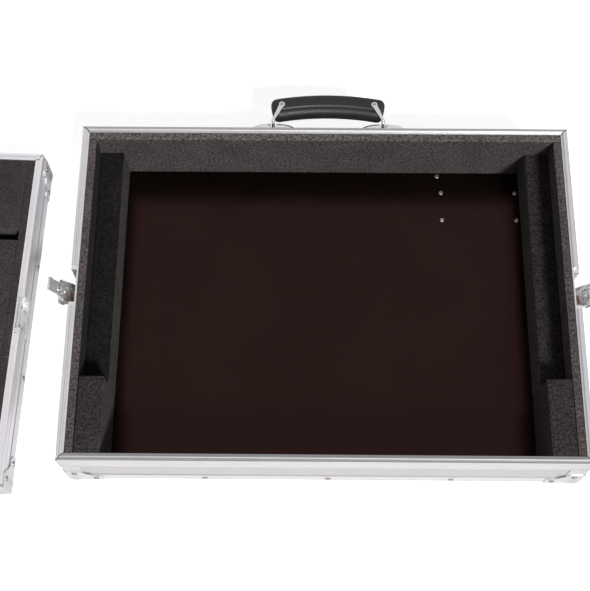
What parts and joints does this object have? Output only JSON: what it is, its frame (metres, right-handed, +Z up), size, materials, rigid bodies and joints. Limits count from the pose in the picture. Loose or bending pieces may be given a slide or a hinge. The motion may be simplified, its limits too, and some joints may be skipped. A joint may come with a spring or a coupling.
{
  "type": "keyboard flight case",
  "caption": "Shallow foam-lined flight case with metal edges: open base with swing-out butterfly latches and a back handle, and its lift-off lid lying beside it.",
  "frame": {"origin": "on the ground, in the middle of the box round the open base and the lid that lies beside it", "axes": "+X along the base's long side, away from the lid, +Y from the front wall to the handle, +Z up"},
  "size_m": [1.3366, 0.515, 0.1102],
  "materials": {
    "film_ply": "film faced plywood, dark brown and half gloss inside, silver sheet outside",
    "aluminium": "satin, natural",
    "silver_sheet": "plywood faced with silver grey sheet outside and dark brown film inside",
    "steel": "zinc plated, bright",
    "foam": "open cell, matt charcoal",
    "grip": "half gloss, black, fine grain",
    "nickel": "bright nickel"
  },
  "bodies": {
    "base": {"base_floor": "film_ply", "base_wall_front": "silver_sheet", "base_wall_back": "silver_sheet", "base_wall_left": "silver_sheet", "base_wall_right": "silver_sheet", "base_rim_front": "aluminium", "base_rim_back": "aluminium", "base_rim_left": "aluminium", "base_rim_right": "aluminium", "base_angle_front": "aluminium", "base_angle_back": "aluminium", "base_angle_left": "aluminium", "base_angle_right": "aluminium", "base_corner_angles": "aluminium", "base_ball_corners": "steel", "base_rivets": "steel", "floor_bolts": "nickel", "foam_liner_back": "foam", "foam_liner_left": "foam", "foam_liner_right": "foam", "foam_block_left": "foam", "foam_block_right": "foam", "foam_corner_left": "foam", "foam_corner_right": "foam", "latch_dish_left": "steel", "latch_dish_right": "steel", "latch_rivets": "steel", "handle_plate_left": "nickel", "handle_plate_right": "nickel", "handle_plate_screws": "nickel"},
    "handle": {"handle_arm_left": "nickel", "handle_arm_right": "nickel", "handle_grip": "grip", "handle_eye_rivets": "nickel"},
    "latch_left": {"latch_link_left": "steel"},
    "hook_left": {"latch_hook_left": "steel"},
    "key_left": {"latch_key_left": "steel"},
    "latch_right": {"latch_link_right": "steel"},
    "hook_right": {"latch_hook_right": "steel"},
    "key_right": {"latch_key_right": "steel"},
    "lid": {"lid_panel": "film_ply", "lid_wall_front": "silver_sheet", "lid_wall_back": "silver_sheet", "lid_wall_left": "silver_sheet", "lid_wall_right": "silver_sheet", "lid_rim_front": "aluminium", "lid_rim_back": "aluminium", "lid_rim_left": "aluminium", "lid_rim_right": "aluminium", "lid_angles": "aluminium", "lid_ball_corners": "steel", "lid_rivets": "steel", "lid_liner_left": "foam", "lid_liner_right": "foam", "lid_pad_back": "foam", "lid_pad_front": "foam", "lid_keeper_left": "steel", "lid_keeper_right": "steel", "lid_keeper_rivets": "steel"}
  },
  "joints": [
    {"name": "lid_lift", "type": "slide", "parent": "base", "child": "lid", "axis": [0, 0, 1], "range_m": [0, 0.2]},
    {"name": "handle_swing", "type": "hinge", "parent": "base", "child": "handle", "pos_m": [0.33822, 0.2039, 0.0772], "axis": [1, 0, 0], "range_deg": [-70, 45]},
    {"name": "latch_left_swing", "type": "hinge", "parent": "base", "child": "latch_left", "pos_m": [0.02852, -0.0197, 0.0552], "axis": [0, -1, 0], "range_deg": [-28, 62]},
    {"name": "key_left_turn", "type": "hinge", "parent": "latch_left", "child": "key_left", "pos_m": [0.01422, -0.0197, 0.07931], "axis": [-0.8829, 0, -0.4695], "range_deg": [0, 180]},
    {"name": "hook_left_pull", "type": "slide", "parent": "latch_left", "child": "hook_left", "axis": [0.4695, 0, -0.8829], "range_m": [0, 0.00301]},
    {"name": "latch_right_swing", "type": "hinge", "parent": "base", "child": "latch_right", "pos_m": [0.63892, -0.0197, 0.0552], "axis": [0, 1, 0], "range_deg": [-28, 62]},
    {"name": "key_right_turn", "type": "hinge", "parent": "latch_right", "child": "key_right", "pos_m": [0.65321, -0.0197, 0.07931], "axis": [0.8829, 0, -0.4695], "range_deg": [0, 180]},
    {"name": "hook_right_pull", "type": "slide", "parent": "latch_right", "child": "hook_right", "axis": [-0.4695, 0, -0.8829], "range_m": [0, 0.00301]}
  ],
  "couplings": [
    {"joint": "hook_left_pull", "follows": "key_left_turn", "m_per_rad": 0.00095493},
    {"joint": "hook_right_pull", "follows": "key_right_turn", "m_per_rad": 0.00095493}
  ]
}
